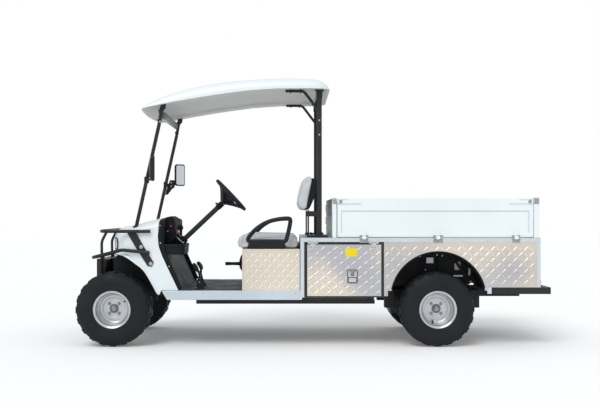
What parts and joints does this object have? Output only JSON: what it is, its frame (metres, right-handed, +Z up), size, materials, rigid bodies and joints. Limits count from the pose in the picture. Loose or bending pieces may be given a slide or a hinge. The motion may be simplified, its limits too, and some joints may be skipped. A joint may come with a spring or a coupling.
{
  "type": "utility golf cart with drop-side cargo bed",
  "caption": "Open utility golf cart with a bench seat, a roof on posts, side lockers and a cargo bed with folding drop sides and tailgate.",
  "frame": {"origin": "on the ground at the middle of the cart's length and width", "axes": "+X forward, +Y to the driver's left, +Z up"},
  "size_m": [3.551, 1.26, 2.0306],
  "materials": {
    "frame_paint": "satin black paint",
    "black_plastic": "fine grained moulding",
    "floor_rubber": "ribbed matt",
    "white_body": "glossy white",
    "roof_lining": "matt grey",
    "bed_panel": "powder coated off-white",
    "tread_plate": "raised diamond bars",
    "sill_aluminium": "satin anodised",
    "seat_vinyl": "grained light grey vinyl",
    "lamp_lens": "clear lens over a reflector",
    "tail_lens": "red ribbed lens",
    "tyre_rubber": "matt black",
    "wheel_silver": "silver paint"
  },
  "bodies": {
    "cart": {"arch_liners": "black_plastic", "armrests": "black_plastic", "battery_pack": "black_plastic", "bed_hinges": "frame_paint", "bed_posts": "bed_panel", "bed_subframe": "frame_paint", "brush_guard": "frame_paint", "chassis_frame": "frame_paint", "cowl": "white_body", "dashboard": "black_plastic", "deck_plate": "tread_plate", "door_hinges": "frame_paint", "door_seals": "floor_rubber", "drive_motor": "frame_paint", "drive_selector": "black_plastic", "floor_pan": "floor_rubber", "front_axle": "frame_paint", "front_bumper": "black_plastic", "front_posts": "frame_paint", "headboard": "bed_panel", "headlights": "lamp_lens", "leaf_springs": "frame_paint", "lockers": "tread_plate", "mirrors": "black_plastic", "pedals": "black_plastic", "post_crossbars": "frame_paint", "rear_axle": "frame_paint", "rear_panel": "tread_plate", "rear_posts": "frame_paint", "rear_step": "frame_paint", "roof": "white_body", "roof_liner": "roof_lining", "seat_back": "seat_vinyl", "seat_back_shell": "black_plastic", "seat_box": "tread_plate", "seat_cushion": "seat_vinyl", "shock_absorbers": "frame_paint", "sills": "sill_aluminium", "skirts": "tread_plate", "steering_column": "frame_paint", "tail_lamps": "tail_lens"},
    "wheel_front_left": {"tyre_front_left": "tyre_rubber", "rim_front_left": "wheel_silver"},
    "wheel_front_right": {"tyre_front_right": "tyre_rubber", "rim_front_right": "wheel_silver"},
    "wheel_rear_left": {"tyre_rear_left": "tyre_rubber", "rim_rear_left": "wheel_silver"},
    "wheel_rear_right": {"tyre_rear_right": "tyre_rubber", "rim_rear_right": "wheel_silver"},
    "knuckle_left": {"knuckle_left": "frame_paint"},
    "knuckle_right": {"knuckle_right": "frame_paint"},
    "tie_rod": {"tie_rod": "frame_paint"},
    "steering_wheel": {"steering_wheel": "black_plastic"},
    "drop_side_left": {"drop_side_left": "bed_panel"},
    "drop_side_right": {"drop_side_right": "bed_panel"},
    "tailgate": {"tailgate": "bed_panel"},
    "locker_door_left": {"locker_door_left": "tread_plate"},
    "locker_door_right": {"locker_door_right": "tread_plate"}
  },
  "joints": [
    {"name": "steer_left", "type": "hinge", "parent": "cart", "child": "knuckle_left", "pos_m": [1.496, 0.345, 0.2795], "axis": [0, 0, 1], "range_deg": [-25, 25]},
    {"name": "steer_right", "type": "hinge", "parent": "cart", "child": "knuckle_right", "pos_m": [1.496, -0.345, 0.2795], "axis": [0, 0, 1], "range_deg": [-25, 25]},
    {"name": "tie_rod_pivot", "type": "hinge", "parent": "knuckle_left", "child": "tie_rod", "pos_m": [1.386, 0.345, 0.222], "axis": [0, 0, 1], "range_deg": [-25, 25]},
    {"name": "steering_wheel_turn", "type": "hinge", "parent": "cart", "child": "steering_wheel", "pos_m": [0.634, 0.25, 1.142], "axis": [-0.7266, 0, 0.6871], "range_deg": [-300, 300]},
    {"name": "spin_front_left", "type": "hinge", "parent": "knuckle_left", "child": "wheel_front_left", "pos_m": [1.496, 0.5, 0.2795], "axis": [0, 1, 0], "continuous": true},
    {"name": "spin_front_right", "type": "hinge", "parent": "knuckle_right", "child": "wheel_front_right", "pos_m": [1.496, -0.5, 0.2795], "axis": [0, 1, 0], "continuous": true},
    {"name": "spin_rear_left", "type": "hinge", "parent": "cart", "child": "wheel_rear_left", "pos_m": [-0.932, 0.5, 0.2795], "axis": [0, 1, 0], "continuous": true},
    {"name": "spin_rear_right", "type": "hinge", "parent": "cart", "child": "wheel_rear_right", "pos_m": [-0.932, -0.5, 0.2795], "axis": [0, 1, 0], "continuous": true},
    {"name": "drop_side_left_hinge", "type": "hinge", "parent": "cart", "child": "drop_side_left", "pos_m": [-0.932, 0.62, 0.812], "axis": [-1, 0, 0], "range_deg": [0, 180]},
    {"name": "drop_side_right_hinge", "type": "hinge", "parent": "cart", "child": "drop_side_right", "pos_m": [-0.932, -0.62, 0.812], "axis": [1, 0, 0], "range_deg": [0, 180]},
    {"name": "tailgate_hinge", "type": "hinge", "parent": "cart", "child": "tailgate", "pos_m": [-1.709, 0, 0.812], "axis": [0, -1, 0], "range_deg": [0, 180]},
    {"name": "locker_door_left_hinge", "type": "hinge", "parent": "cart", "child": "locker_door_left", "pos_m": [-0.233, 0.612, 0.776], "axis": [-1, 0, 0], "range_deg": [-80, 0]},
    {"name": "locker_door_right_hinge", "type": "hinge", "parent": "cart", "child": "locker_door_right", "pos_m": [-0.233, -0.612, 0.776], "axis": [1, 0, 0], "range_deg": [-80, 0]}
  ],
  "couplings": [
    {"joint": "steer_right", "follows": "steer_left", "ratio": 1},
    {"joint": "tie_rod_pivot", "follows": "steer_left", "ratio": -1},
    {"joint": "steering_wheel_turn", "follows": "steer_left", "ratio": 12}
  ]
}
